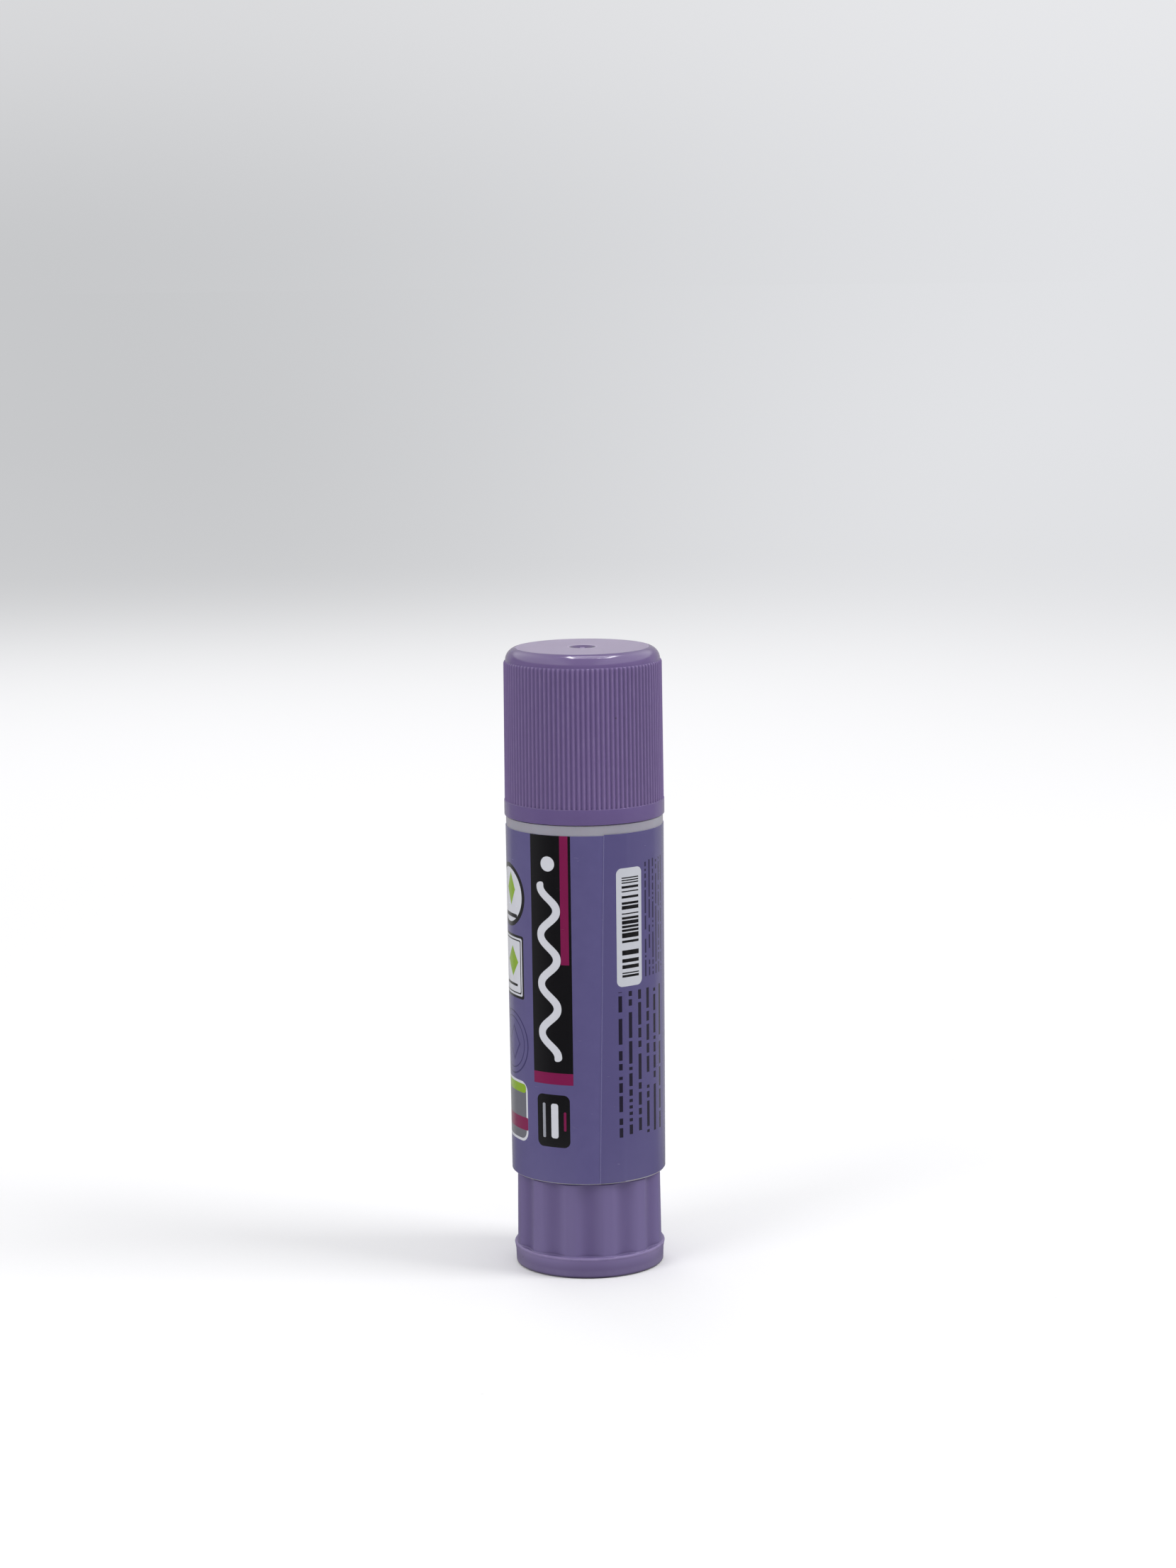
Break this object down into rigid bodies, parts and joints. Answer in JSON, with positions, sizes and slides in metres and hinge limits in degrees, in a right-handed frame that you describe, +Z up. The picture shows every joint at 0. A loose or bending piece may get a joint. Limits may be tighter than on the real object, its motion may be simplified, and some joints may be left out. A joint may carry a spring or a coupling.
{
  "type": "glue stick",
  "caption": "Twist-up glue stick: ribbed push-on cap, labelled round barrel and a fluted turning base whose lead screw raises the glue.",
  "frame": {"origin": "on the floor under the axis, at the middle of the turning base's foot", "axes": "+Z up along the axis of the stick; -Y is the front, where a flute of the base faces; +X to the right"},
  "size_m": [0.0244, 0.0244, 0.096],
  "materials": {
    "violet_plastic": "satin moulded polypropylene, dyed violet",
    "white_plastic": "satin moulded polypropylene, white",
    "label_film": "printed film, violet ground, soft gloss",
    "glue": "waxy, slightly translucent, tinted violet"
  },
  "bodies": {
    "barrel": {"barrel": "white_plastic", "label": "label_film"},
    "knob": {"knob": "violet_plastic", "spindle": "white_plastic"},
    "carrier": {"carrier": "white_plastic", "glue": "glue"},
    "cap": {"cap": "violet_plastic"}
  },
  "joints": [
    {"name": "knob_turn", "type": "hinge", "parent": "barrel", "child": "knob", "pos_m": [0, 0, 0], "axis": [0, 0, 1], "range_deg": [0, 3241]},
    {"name": "carrier_slide", "type": "slide", "parent": "barrel", "child": "carrier", "axis": [0, 0, 1], "range_m": [0, 0.054]},
    {"name": "cap_lift", "type": "slide", "parent": "carrier", "child": "cap", "axis": [0, 0, 1], "range_m": [0, 0.04]}
  ],
  "couplings": [
    {"joint": "knob_turn", "follows": "carrier_slide", "rad_per_m": 1047.2}
  ]
}
